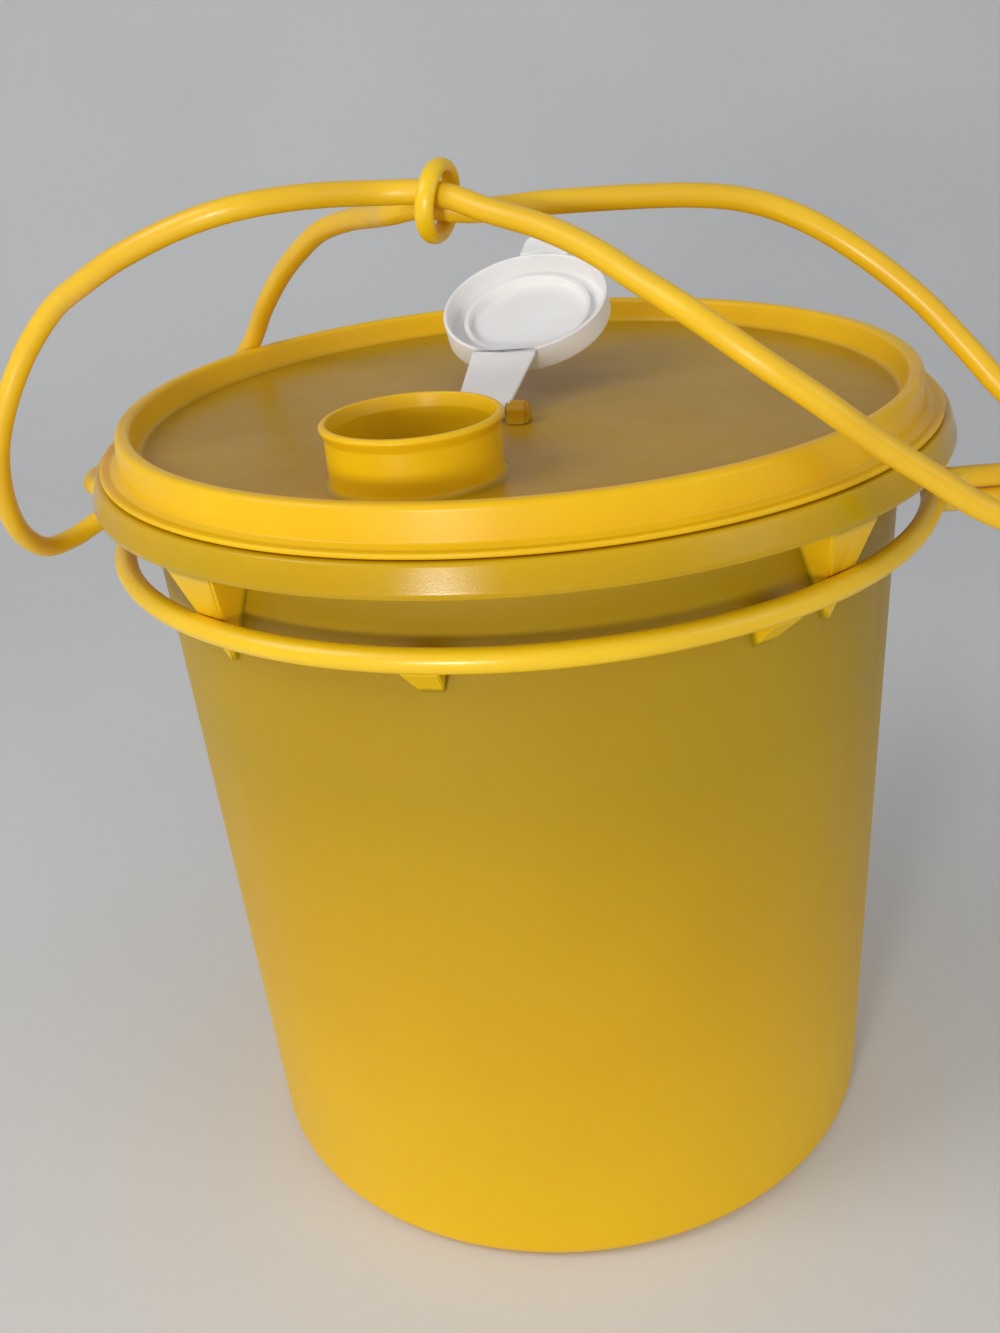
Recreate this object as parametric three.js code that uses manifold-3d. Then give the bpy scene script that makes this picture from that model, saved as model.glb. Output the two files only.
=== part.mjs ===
// Lidded pouring canister with a snap cap on a strap and a cord handle.
// Millimetres, +Z up. The origin is the middle of the circle that the foot ring stands on.
// -Y is the front, where the pouring spout is.

import * as THREE from 'three';
import { mergeVertices } from 'three/addons/utils/BufferGeometryUtils.js';
import { ConvexGeometry } from 'three/addons/geometries/ConvexGeometry.js';
import Module from 'manifold-3d';

const wasm = await Module();
wasm.setup();

// Fineness of the round forms

const ROUND_STEPS = 72;
const SPOUT_STEPS = 40;
const PIN_STEPS = 16;
const ROD_STEPS = 10;
const CORD_SIDES = 8;
const CORD_STEPS = 48;

// How far a joined form reaches into its neighbour, and a cut past the face that it opens

const OVERRUN = 0.6;

// Tub: wall, base and foot ring

const TUB_BASE_RADIUS = 104.5;
const TUB_MOUTH_RADIUS = 114;
const TUB_WALL = 2;
const BASE_THICKNESS = 2.4;
const BASE_PANEL_LIFT = 3;
const BASE_EDGE_RADIUS = 6;
const FOOT_RING_WIDTH = 5;
const FOOT_BEVEL = 2.2;
const MOUTH_BEVEL = 0.6;

// Tub: collar, an outward flange round the mouth. Its edge turns down and flares to a low bead.

const COLLAR_TOP_Z = 240.7;
const COLLAR_TOP_RADIUS = 126.6;
const COLLAR_RADIUS = 128.7;
const COLLAR_HEIGHT = 8.4;
const COLLAR_WALL = 2;
const COLLAR_ROLL = 0.9;
const BEAD_HEIGHT = 1.5;
const BEAD_EDGE = 0.4;

// Tub: gussets between the collar and the wall

const GUSSET_HEIGHT = 31.5;
const GUSSET_FOOT_DEPTH = 1.4;
const GUSSET_INSET = 0.4;
const GUSSET_MIDDLES_DEG = [-1.5, 178.5];
const GUSSET_SPLAY_DEG = 44.5;
const GUSSET_TOP_DEG = 8.2;
const GUSSET_FOOT_DEG = 0.8;

// Carrying ring, and the outlets that the cords grow from, one above the other

const RING_RADIUS = 122.7;
const RING_Z = 214.7;
const ROD_DIAMETER = 6.5;
const RING_GAP = 0.3;
const OUTLET_DEG = 14.2;
const OUTLET_LENGTH = 9;
const OUTLET_Z = 215.2;
const OUTLET_SPACING = 6.9;
const OUTLET_ROOT_DEG = 3.4;

// Tub: snap lugs that the ring rests on

const LUG_INSET = 0.5;
const LUG_HEIGHT = 10;
const LUG_EDGE = 0.7;
const LUG_TOP_WIDTH = 9.8;
const LUG_FOOT_WIDTH = 6.4;
const LUG_MIDDLES_DEG = [-13.5, 30.8, 166.5, 210.8];

// Lid: rim, floor and plug ring

const LID_SEAT_GAP = 0.3;
const LID_THICKNESS = 2;
const LID_FLOOR_HEIGHT = 3.2;
const LID_FLOOR_RADIUS = 113.3;
const LID_FLOOR_FILLET = 0.8;
const LIP_RADIUS = 125.1;
const LIP_THICKNESS = 1.5;
const LIP_ROLL = 0.4;
const LIP_TOP_WIDTH = 1.1;
const GROOVE_RADIUS = 122.2;
const GROOVE_HEIGHT = 1.1;
const CREST_HEIGHT = 11.2;
const CREST_FOOT_RADIUS = 120;
const CREST_FOOT_HEIGHT = 2.2;
const CREST_OUTER_RADIUS = 119;
const CREST_INNER_RADIUS = 115;
const CREST_ROLL = 1.7;
const PLUG_GAP = 0.4;
const PLUG_WALL = 1.8;
const PLUG_DEPTH = 9;
const PLUG_DRAFT = 0.5;

// Lid: pouring spout

const SPOUT_X = -27.2;
const SPOUT_Y = -67.7;
const SPOUT_HEIGHT = 16.5;
const SPOUT_RADIUS = 23;
const SPOUT_WALL = 1.6;
const SPOUT_FILLET = 1.6;
const SPOUT_RIM_RADIUS = 24.3;
const SPOUT_RIM_DEPTH = 3.6;
const SPOUT_RIM_ROLL = 1.1;
const SPOUT_MOUTH_RADIUS = 22.3;

// Lid: strap hinge. The strap points away from the spout, this far round from +Y towards +X.

const POUR_LINE_DEG = 19;
const HINGE_REACH = 51.5;
const HINGE_HEIGHT = 3.3;
const EAR_RADIUS = 3;
const EAR_WIDTH = 6.4;
const EAR_FOOT = 8.4;
const EAR_GAP = 0.4;
const EAR_ARC_STEPS = 8;

// Strap, at rest leaning back from the spout

const BARREL_RADIUS = 2.3;
const STUB_RADIUS = 1.5;
const STUB_LENGTH = 3.4;
const STUB_GAP = 0.3;
const STRAP_ROOT_WIDTH = 16;
const STRAP_END_WIDTH = 20;
const STRAP_THICKNESS = 1.2;
const STRAP_REST_DEG = 24;
const FLEX_GAP = 0.5;

// Snap cap

const CAP_SEAT_GAP = 0.3;
const CAP_RADIUS = 26.2;
const CAP_WALL = 1.1;
const CAP_DEPTH = 6.8;
const CAP_PANEL = 1.5;
const CAP_ROLL = 1;
const CAP_EDGE = 0.3;
const CAP_LAND = 0.4;
const CAP_PLUG_RADIUS = 20.3;
const CAP_PLUG_WALL = 1.5;
const CAP_PLUG_HEIGHT = 2.8;
const TAB_WIDTH = 16.5;
const TAB_REACH = 11.5;
const TAB_THICKNESS = 1.6;
const TAB_CORNER = 5;

// Slider ring: its place on the two cords, and the way that its bore points

const SLIDER_PLACE = [-16.2, -37.2, 308.7];
const SLIDER_AXIS_SHARES = [0.921, -0.356, -0.158];
const SLIDER_BORE = 14.6;
const SLIDER_THICKNESS = 3.6;
const SLIDER_WIDTH = 5.2;

// Cords

const CORD_DIAMETER = 6.5;

// Routes of the cords, from the left outlet over the lid to the right one

const CORD_FRONT_ROUTE = [
  [-128.3, 30.1, 211.75], [-132, 30.1, 211.75], [-137.5, 29.5, 211],
  [-143.75, 27.5, 208.5], [-149.75, 22.25, 206], [-156.25, 11.5, 206.75],
  [-158.75, -1.25, 216.25], [-157.5, -11.5, 231], [-153.5, -18, 247],
  [-147.5, -19.5, 261], [-138.5, -19.5, 275.5], [-127, -23, 287.5],
  [-114, -33.5, 295.5], [-100.5, -42, 302.5], [-83.5, -47, 309],
  [-68.5, -48.5, 312.5], [-51, -44.5, 313.5], [-31, -37, 312],
  [-16.5, -40, 311], [-3, -48, 306.5], [10, -60, 303],
  [21, -73, 298.5], [30.5, -86, 293], [42, -98, 286],
  [55, -106, 276.5], [69, -108, 266], [83, -105.5, 254.5],
  [97, -103, 244], [110, -101, 234.5], [126, -99.5, 226],
  [141, -96, 216.5], [155.5, -88, 209.5], [169, -73.5, 207],
  [173, -53, 207], [165, -36.5, 209], [147, -30.5, 211.5],
  [132, -30.1, 211.75], [128.3, -30.1, 211.75],
];
const CORD_BACK_ROUTE = [
  [-128.3, 30.1, 218.65], [-132.3, 30.1, 218.65], [-137.8, 31.2, 218.6],
  [-142.9, 34.7, 218.4], [-146.3, 40.6, 218.1], [-147.3, 48, 217.8],
  [-145.5, 57, 217.9], [-139.5, 68, 218.8], [-130, 78.5, 221.8],
  [-118, 85.5, 228], [-105.5, 87.5, 238], [-93, 83, 252],
  [-84, 70, 266.5], [-74.5, 56.5, 279], [-65.5, 43, 288],
  [-56, 28.5, 295.5], [-45, 12, 300], [-36, -5, 302.5],
  [-29.5, -22, 305], [-21, -32, 307], [-7, -37, 305.5],
  [14.5, -34, 305.5], [53, -26, 303], [68, -24.5, 300],
  [81.5, -25.5, 294.5], [95, -29, 286], [110.5, -36.5, 273],
  [122, -44, 260], [131, -50.5, 249], [141, -57.5, 239.5],
  [151.5, -66.5, 232], [165, -68.5, 226], [174, -64, 222],
  [178.5, -56, 219], [178.5, -45, 217.5], [172.5, -35.5, 217.5],
  [160.5, -29.5, 218.5], [146, -30, 218.5], [132, -30.1, 218.65],
  [128.3, -30.1, 218.65],
];

// Heights and radii that follow from the sizes

const RAD = Math.PI / 180;
const TURN = 2 * Math.PI;
const wallSlope = (TUB_MOUTH_RADIUS - TUB_BASE_RADIUS) / COLLAR_TOP_Z;
const wallRadius = (z) => TUB_BASE_RADIUS + wallSlope * z;
const collarLowZ = COLLAR_TOP_Z - COLLAR_HEIGHT;
const flangeUnderZ = COLLAR_TOP_Z - COLLAR_WALL;
const lidUnderZ = COLLAR_TOP_Z + LID_SEAT_GAP;
const lidFloorZ = lidUnderZ + LID_FLOOR_HEIGHT;
const floorUnderZ = lidFloorZ - LID_THICKNESS;
const crestZ = lidUnderZ + CREST_HEIGHT;
const spoutTopZ = lidFloorZ + SPOUT_HEIGHT;
const spoutBore = SPOUT_RADIUS - SPOUT_WALL;

// The strap's length lets the closed cap lie level on the spout's rim, over its middle

const flexReach = CAP_RADIUS + CAP_LAND;
const flexRun = HINGE_REACH - flexReach;
const flexRise = SPOUT_HEIGHT + CAP_SEAT_GAP - HINGE_HEIGHT - CAP_DEPTH + STRAP_THICKNESS / 2;
const strapLength = Math.hypot(flexRun, flexRise);

// A piece's triangles as a solid that can be joined and cut

function solidOf(geometry) {
  geometry.deleteAttribute('normal');
  geometry.deleteAttribute('uv');
  const merged = mergeVertices(geometry);
  const corners = merged.index.array;
  const triangles = [];
  for (let i = 0; i < corners.length; i += 3) {
    const [a, b, c] = [corners[i], corners[i + 1], corners[i + 2]];
    if (a !== b && b !== c && c !== a) triangles.push(a, b, c);
  }
  return new wasm.Manifold(new wasm.Mesh({
    numProp: 3,
    vertProperties: new Float32Array(merged.attributes.position.array),
    triVerts: new Uint32Array(triangles),
  }));
}

function meshOf(name, solid, material) {
  const { numProp, vertProperties, triVerts } = solid.getMesh();
  const positions = new Float32Array((vertProperties.length / numProp) * 3);
  for (let i = 0; i < positions.length / 3; i += 1) {
    for (let axis = 0; axis < 3; axis += 1) {
      positions[i * 3 + axis] = vertProperties[i * numProp + axis];
    }
  }
  const geometry = new THREE.BufferGeometry();
  geometry.setAttribute('position', new THREE.BufferAttribute(positions, 3));
  geometry.setIndex(new THREE.BufferAttribute(new Uint32Array(triVerts), 1));
  geometry.computeVertexNormals();
  const mesh = new THREE.Mesh(geometry, material);
  mesh.name = name;
  return mesh;
}

function joined(solids) {
  return solids.reduce((sum, solid) => sum.add(solid));
}

// A profile of [radius, height] pairs turned about Z. It is listed up the outside and down the inside.

function turned(profile, steps) {
  const points = profile.map(([radius, height]) => new THREE.Vector2(radius, height));
  const geometry = new THREE.LatheGeometry(points, steps);
  geometry.rotateX(TURN / 4);
  return geometry;
}

function arc(x, y, radius, fromDeg, toDeg, steps) {
  const points = [];
  for (let i = 0; i <= steps; i += 1) {
    const angle = (fromDeg + ((toDeg - fromDeg) * i) / steps) * RAD;
    points.push([x + radius * Math.cos(angle), y + radius * Math.sin(angle)]);
  }
  return points;
}

// A place round the tub: the angle runs from the front (-Y) towards +X

function around(degrees, radius, z, sideways = 0) {
  const angle = degrees * RAD;
  return new THREE.Vector3(
    radius * Math.sin(angle) + sideways * Math.cos(angle),
    -radius * Math.cos(angle) + sideways * Math.sin(angle),
    z,
  );
}

// Tub

function tubShell() {
  const footOuter = wallRadius(BASE_EDGE_RADIUS) - BASE_EDGE_RADIUS;
  const footInner = footOuter - FOOT_RING_WIDTH;
  const panelEdge = footInner - FOOT_BEVEL;
  const panelTopZ = BASE_PANEL_LIFT + BASE_THICKNESS;
  const mouth = TUB_MOUTH_RADIUS - TUB_WALL;
  const innerEdge = BASE_EDGE_RADIUS - TUB_WALL;
  const profile = [
    [0, BASE_PANEL_LIFT],
    [panelEdge, BASE_PANEL_LIFT],
    [footInner, 0],
    ...arc(footOuter, BASE_EDGE_RADIUS, BASE_EDGE_RADIUS, -90, 0, 3),
    [wallRadius(flangeUnderZ), flangeUnderZ],
    [COLLAR_TOP_RADIUS - COLLAR_WALL, flangeUnderZ],
    [COLLAR_RADIUS - COLLAR_WALL - BEAD_EDGE, collarLowZ],
    [COLLAR_RADIUS - BEAD_EDGE, collarLowZ],
    [COLLAR_RADIUS, collarLowZ + BEAD_HEIGHT],
    ...arc(COLLAR_TOP_RADIUS - COLLAR_ROLL, COLLAR_TOP_Z - COLLAR_ROLL, COLLAR_ROLL, 0, 90, 3),
    [mouth + MOUTH_BEVEL, COLLAR_TOP_Z],
    [mouth, COLLAR_TOP_Z - MOUTH_BEVEL],
    ...arc(footOuter, BASE_EDGE_RADIUS, innerEdge, 0, -90, 2),
    [footInner + TUB_WALL / 2, TUB_WALL],
    [panelEdge + TUB_WALL / 2, panelTopZ],
    [0, panelTopZ],
  ];
  return solidOf(turned(profile, ROUND_STEPS));
}

// A gusset is a wedge whose far edge stands upright under the collar and whose near edge slants to it

function gusset(middleDeg, side) {
  const farDeg = middleDeg + side * GUSSET_SPLAY_DEG;
  const nearTopDeg = farDeg - side * GUSSET_TOP_DEG;
  const nearFootDeg = farDeg - side * GUSSET_FOOT_DEG;
  const halfTopDeg = (farDeg + nearTopDeg) / 2;
  const outer = COLLAR_RADIUS - BEAD_EDGE - GUSSET_INSET;
  const outerTop = COLLAR_TOP_RADIUS - COLLAR_ROLL;
  const footZ = collarLowZ - GUSSET_HEIGHT;
  const inner = (z) => wallRadius(z) - TUB_WALL / 2;
  const topZ = flangeUnderZ + COLLAR_WALL / 2;
  const points = [];
  for (const degrees of [farDeg, halfTopDeg, nearTopDeg]) {
    points.push(around(degrees, outer, collarLowZ), around(degrees, outerTop, topZ));
    points.push(around(degrees, inner(topZ), topZ), around(degrees, inner(collarLowZ), collarLowZ));
  }
  for (const degrees of [farDeg, nearFootDeg]) {
    points.push(around(degrees, wallRadius(footZ) + GUSSET_FOOT_DEPTH, footZ));
    points.push(around(degrees, inner(footZ), footZ));
  }
  return solidOf(new ConvexGeometry(points));
}

function lug(degrees) {
  const topZ = RING_Z - ROD_DIAMETER / 2 - RING_GAP;
  const footZ = topZ - LUG_HEIGHT;
  const reach = RING_RADIUS - LUG_INSET;
  const inner = (z) => wallRadius(z) - TUB_WALL / 2;
  const points = [];
  for (const side of [-1, 1]) {
    points.push(around(degrees, inner(topZ), topZ, (side * LUG_TOP_WIDTH) / 2));
    points.push(around(degrees, reach, topZ, (side * LUG_TOP_WIDTH) / 2));
    points.push(around(degrees, reach, topZ - LUG_EDGE, (side * LUG_TOP_WIDTH) / 2));
    points.push(around(degrees, wallRadius(footZ), footZ, (side * LUG_FOOT_WIDTH) / 2));
    points.push(around(degrees, inner(footZ), footZ, (side * LUG_FOOT_WIDTH) / 2));
  }
  return solidOf(new ConvexGeometry(points));
}

// The ring's own path stays free

function ringPath(gap) {
  const section = arc(RING_RADIUS, RING_Z, ROD_DIAMETER / 2 + gap, -90, 270, ROD_STEPS);
  return solidOf(turned(section, ROUND_STEPS));
}

function tub() {
  const gussets = GUSSET_MIDDLES_DEG.flatMap((degrees) => [-1, 1].map((side) => gusset(degrees, side)));
  const held = joined([...gussets, ...LUG_MIDDLES_DEG.map(lug)]).subtract(ringPath(RING_GAP));
  return tubShell().add(held);
}

// Carrying ring with an outlet at each end of one diameter

function outlet(side) {
  const degrees = 90 - OUTLET_DEG;
  const rod = ROD_DIAMETER / 2;
  const root = around(degrees, RING_RADIUS, RING_Z);
  const points = [];
  for (const [spread, height] of arc(0, 0, rod, 0, 360, ROD_STEPS)) {
    for (const x of [root.x + rod / 2, root.x + OUTLET_LENGTH]) {
      for (const middleZ of [OUTLET_Z - OUTLET_SPACING / 2, OUTLET_Z + OUTLET_SPACING / 2]) {
        points.push(new THREE.Vector3(x, root.y + spread, middleZ + height));
      }
    }
    for (const turn of [-OUTLET_ROOT_DEG, OUTLET_ROOT_DEG]) {
      points.push(around(degrees + turn, RING_RADIUS + spread, RING_Z + height));
    }
  }
  const geometry = new ConvexGeometry(points);
  if (side < 0) geometry.rotateZ(TURN / 2);
  return solidOf(geometry);
}

function carryRing() {
  return joined([ringPath(0), outlet(1), outlet(-1)]);
}

// Lid

function lidShell() {
  const plugOuter = TUB_MOUTH_RADIUS - TUB_WALL - PLUG_GAP;
  const plugInner = plugOuter - PLUG_WALL;
  const plugLowZ = lidUnderZ - PLUG_DEPTH;
  const crestMiddleZ = crestZ - CREST_ROLL;
  const profile = [
    [0, floorUnderZ],
    [plugInner, floorUnderZ],
    [plugInner, plugLowZ],
    [plugOuter - PLUG_DRAFT, plugLowZ],
    [plugOuter, lidUnderZ],
    [LIP_RADIUS, lidUnderZ],
    [LIP_RADIUS, lidUnderZ + LIP_THICKNESS - LIP_ROLL],
    [LIP_RADIUS - LIP_ROLL, lidUnderZ + LIP_THICKNESS],
    [LIP_RADIUS - LIP_TOP_WIDTH, lidUnderZ + LIP_THICKNESS],
    [GROOVE_RADIUS, lidUnderZ + GROOVE_HEIGHT],
    [CREST_FOOT_RADIUS, lidUnderZ + CREST_FOOT_HEIGHT],
    ...arc(CREST_OUTER_RADIUS - CREST_ROLL, crestMiddleZ, CREST_ROLL, 0, 90, 3),
    ...arc(CREST_INNER_RADIUS + CREST_ROLL, crestMiddleZ, CREST_ROLL, 90, 180, 3),
    [LID_FLOOR_RADIUS, lidFloorZ + LID_FLOOR_FILLET],
    [LID_FLOOR_RADIUS - LID_FLOOR_FILLET, lidFloorZ],
    [0, lidFloorZ],
  ];
  return solidOf(turned(profile, ROUND_STEPS));
}

function spoutBody() {
  const rimLowZ = spoutTopZ - SPOUT_RIM_DEPTH;
  const profile = [
    [0, floorUnderZ + OVERRUN],
    [SPOUT_RADIUS + SPOUT_FILLET, floorUnderZ + OVERRUN],
    [SPOUT_RADIUS + SPOUT_FILLET, lidFloorZ],
    ...arc(SPOUT_RADIUS + SPOUT_FILLET, lidFloorZ + SPOUT_FILLET, SPOUT_FILLET, -135, -180, 1),
    [SPOUT_RADIUS, rimLowZ],
    ...arc(SPOUT_RIM_RADIUS - SPOUT_RIM_ROLL, spoutTopZ - SPOUT_RIM_ROLL, SPOUT_RIM_ROLL, -45, 90, 3),
    [0, spoutTopZ],
  ];
  const geometry = turned(profile, SPOUT_STEPS);
  geometry.translate(SPOUT_X, SPOUT_Y, 0);
  return solidOf(geometry);
}

function spoutCut() {
  const flareZ = spoutTopZ - SPOUT_RIM_DEPTH;
  const profile = [
    [0, floorUnderZ - OVERRUN],
    [spoutBore, floorUnderZ - OVERRUN],
    [spoutBore, flareZ],
    [SPOUT_MOUTH_RADIUS, spoutTopZ],
    [SPOUT_MOUTH_RADIUS, spoutTopZ + OVERRUN],
    [0, spoutTopZ + OVERRUN],
  ];
  const geometry = turned(profile, SPOUT_STEPS);
  geometry.translate(SPOUT_X, SPOUT_Y, 0);
  return solidOf(geometry);
}

// The hinge's own frame: x along the pour line, y up, z along the pin, towards the right

function hingeMatrix() {
  const along = new THREE.Vector3(Math.sin(POUR_LINE_DEG * RAD), Math.cos(POUR_LINE_DEG * RAD), 0);
  const up = new THREE.Vector3(0, 0, 1);
  const pin = new THREE.Vector3().crossVectors(along, up);
  const place = new THREE.Vector3(SPOUT_X, SPOUT_Y, lidFloorZ + HINGE_HEIGHT);
  place.addScaledVector(along, HINGE_REACH);
  return new THREE.Matrix4().makeBasis(along, up, pin).setPosition(place);
}

function pinCylinder(radius, length, z) {
  const geometry = new THREE.CylinderGeometry(radius, radius, length, PIN_STEPS);
  geometry.rotateX(TURN / 4);
  geometry.translate(0, 0, z);
  return geometry;
}

function ear(side) {
  const innerFace = STRAP_ROOT_WIDTH / 2 + EAR_GAP;
  const outline = [
    [-EAR_FOOT / 2, -HINGE_HEIGHT - OVERRUN],
    [EAR_FOOT / 2, -HINGE_HEIGHT - OVERRUN],
    ...arc(0, 0, EAR_RADIUS, -15, 195, EAR_ARC_STEPS),
  ];
  const shape = new THREE.Shape(outline.map(([x, y]) => new THREE.Vector2(x, y)));
  const block = new THREE.ExtrudeGeometry(shape, { depth: EAR_WIDTH, bevelEnabled: false });
  block.translate(0, 0, side > 0 ? innerFace : -innerFace - EAR_WIDTH);
  block.applyMatrix4(hingeMatrix());
  const depth = STUB_LENGTH + STUB_GAP - EAR_GAP + OVERRUN;
  const middle = innerFace - OVERRUN + depth / 2;
  const hole = pinCylinder(STUB_RADIUS + STUB_GAP, depth, side * middle);
  hole.applyMatrix4(hingeMatrix());
  return solidOf(block).subtract(solidOf(hole));
}

function lid() {
  const closed = joined([lidShell(), spoutBody(), ear(1), ear(-1)]);
  return closed.subtract(spoutCut());
}

// Strap, in the hinge's frame with x along the strap

function strap() {
  const length = STRAP_ROOT_WIDTH + 2 * STUB_LENGTH;
  const points = [];
  for (const side of [-1, 1]) {
    for (const y of [-STRAP_THICKNESS / 2, STRAP_THICKNESS / 2]) {
      points.push(new THREE.Vector3(0, y, (side * STRAP_ROOT_WIDTH) / 2));
      points.push(new THREE.Vector3(strapLength - FLEX_GAP / 2, y, (side * STRAP_END_WIDTH) / 2));
    }
  }
  return joined([
    solidOf(new ConvexGeometry(points)),
    solidOf(pinCylinder(BARREL_RADIUS, STRAP_ROOT_WIDTH, 0)),
    solidOf(pinCylinder(STUB_RADIUS, length, 0)),
  ]);
}

// Snap cap, with its open side up: x runs from the flexing line over the cap's middle to the tab

function capBody() {
  const inner = CAP_RADIUS - CAP_WALL;
  const rollY = -CAP_DEPTH - CAP_PANEL + CAP_ROLL;
  const plugInner = CAP_PLUG_RADIUS - CAP_PLUG_WALL;
  const plugTopY = CAP_PLUG_HEIGHT - CAP_DEPTH;
  const profile = [
    [0, -CAP_DEPTH - CAP_PANEL],
    ...arc(CAP_RADIUS - CAP_ROLL, rollY, CAP_ROLL, -90, 0, 2),
    [CAP_RADIUS, -CAP_EDGE],
    [CAP_RADIUS - CAP_EDGE, 0],
    [inner + CAP_EDGE, 0],
    [inner, -CAP_EDGE],
    [inner, -CAP_DEPTH],
    [CAP_PLUG_RADIUS, -CAP_DEPTH],
    [CAP_PLUG_RADIUS - CAP_EDGE, plugTopY],
    [plugInner + CAP_EDGE, plugTopY],
    [plugInner, -CAP_DEPTH],
    [0, -CAP_DEPTH],
  ];
  const points = profile.map(([radius, y]) => new THREE.Vector2(radius, y));
  return new THREE.LatheGeometry(points, SPOUT_STEPS);
}

function capTab() {
  const root = CAP_RADIUS - CAP_WALL;
  const end = CAP_RADIUS + TAB_REACH;
  const half = TAB_WIDTH / 2;
  const outline = [
    [root - OVERRUN, -half],
    ...arc(end - TAB_CORNER, TAB_CORNER - half, TAB_CORNER, -90, 0, 3),
    ...arc(end - TAB_CORNER, half - TAB_CORNER, TAB_CORNER, 0, 90, 3),
    [root - OVERRUN, half],
  ];
  const shape = new THREE.Shape(outline.map(([x, y]) => new THREE.Vector2(x, y)));
  const geometry = new THREE.ExtrudeGeometry(shape, { depth: TAB_THICKNESS, bevelEnabled: false });
  geometry.rotateX(TURN / 4);
  return geometry;
}

function capLand() {
  const nearX = FLEX_GAP / 2 - flexReach;
  const half = STRAP_END_WIDTH / 2;
  const skirtAtCorner = -Math.sqrt(CAP_RADIUS ** 2 - half ** 2);
  const length = skirtAtCorner + CAP_WALL / 2 - nearX;
  const geometry = new THREE.BoxGeometry(length, STRAP_THICKNESS, STRAP_END_WIDTH);
  geometry.translate(nearX + length / 2, -STRAP_THICKNESS / 2, 0);
  return geometry;
}

function cap() {
  const hollow = new THREE.CylinderGeometry(
    CAP_RADIUS - CAP_WALL / 2,
    CAP_RADIUS - CAP_WALL / 2,
    2 * (CAP_DEPTH + CAP_PANEL),
    SPOUT_STEPS,
  );
  const outside = joined([solidOf(capTab()), solidOf(capLand())]).subtract(solidOf(hollow));
  const whole = joined([solidOf(capBody()), outside]);
  return whole.translate([flexReach, STRAP_THICKNESS / 2, 0]);
}

// Slider ring and cords

function slider() {
  const middle = (SLIDER_BORE + SLIDER_THICKNESS) / 2;
  const section = arc(0, 0, 1 / 2, -90, 270, ROD_STEPS);
  const oval = section.map(([x, y]) => [middle + x * SLIDER_THICKNESS, y * SLIDER_WIDTH]);
  return solidOf(turned(oval, SPOUT_STEPS));
}

function cord(route) {
  const path = new THREE.CatmullRomCurve3(route.map((point) => new THREE.Vector3(...point)));
  const section = arc(0, 0, CORD_DIAMETER / 2, 0, 360 - 360 / CORD_SIDES, CORD_SIDES - 1);
  const shape = new THREE.Shape(section.map(([x, y]) => new THREE.Vector2(x, y)));
  return solidOf(new THREE.ExtrudeGeometry(shape, { steps: CORD_STEPS, extrudePath: path }));
}

// Materials

function plastic(color, roughness) {
  return new THREE.MeshStandardMaterial({ color, roughness, metalness: 0 });
}

const canister = new THREE.Group();
canister.add(
  meshOf('tub', tub(), plastic('#d9a92e', 0.38)),
  meshOf('lid', lid(), plastic('#eab42a', 0.32)),
  meshOf('carry_ring', carryRing(), plastic('#f2bf3a', 0.35)),
  meshOf('cord_front', cord(CORD_FRONT_ROUTE), plastic('#efbb45', 0.4)),
  meshOf('cord_back', cord(CORD_BACK_ROUTE), plastic('#e8b13d', 0.4)),
);

// Strap and cap hang one after the other from the hinge

const hinge = new THREE.Group();
hingeMatrix().decompose(hinge.position, hinge.quaternion, hinge.scale);
const leaning = new THREE.Group();
leaning.rotation.z = STRAP_REST_DEG * RAD;
leaning.add(meshOf('cap_strap', strap(), plastic('#e2dcd8', 0.35)));
const flexing = new THREE.Group();
flexing.position.x = strapLength;
flexing.add(meshOf('spout_cap', cap(), plastic('#f4f2f0', 0.3)));
leaning.add(flexing);
hinge.add(leaning);
canister.add(hinge);

// The slider ring turns its bore along the cords

const sliderRing = meshOf('slider_ring', slider(), plastic('#eebb42', 0.38));
const bore = new THREE.Vector3(...SLIDER_AXIS_SHARES).normalize();
sliderRing.quaternion.setFromUnitVectors(new THREE.Vector3(0, 0, 1), bore);
sliderRing.position.set(...SLIDER_PLACE);
canister.add(sliderRing);

export default canister;
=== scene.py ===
import math

import bmesh
import bpy
import numpy as np
from mathutils import Matrix, Vector


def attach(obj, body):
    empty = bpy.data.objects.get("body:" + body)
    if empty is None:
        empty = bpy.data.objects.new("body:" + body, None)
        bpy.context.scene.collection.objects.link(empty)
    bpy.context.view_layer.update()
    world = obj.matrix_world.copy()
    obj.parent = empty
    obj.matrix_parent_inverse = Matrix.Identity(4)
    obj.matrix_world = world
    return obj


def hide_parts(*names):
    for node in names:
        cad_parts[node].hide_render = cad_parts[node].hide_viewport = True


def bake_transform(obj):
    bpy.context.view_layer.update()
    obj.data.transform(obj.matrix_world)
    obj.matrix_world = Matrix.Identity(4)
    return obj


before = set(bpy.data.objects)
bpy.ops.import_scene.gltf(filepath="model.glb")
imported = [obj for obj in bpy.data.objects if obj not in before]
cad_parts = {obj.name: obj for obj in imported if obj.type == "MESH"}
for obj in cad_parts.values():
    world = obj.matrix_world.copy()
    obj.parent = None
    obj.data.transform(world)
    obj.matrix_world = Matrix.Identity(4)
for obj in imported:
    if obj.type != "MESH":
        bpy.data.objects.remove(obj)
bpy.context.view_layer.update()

# Lengths are in metres. -Y is the front, +Z is up.

# Camera: where it stands, how it is turned, and its lens

CAMERA_PLACE = (0.0, -0.4224, 0.35235)
CAMERA_PAN = -0.0293
CAMERA_TILT = 0.435
CAMERA_ROLL = -0.0928
LENS_MM = 37.95
SENSOR_MM = 36

# Tub

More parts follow.
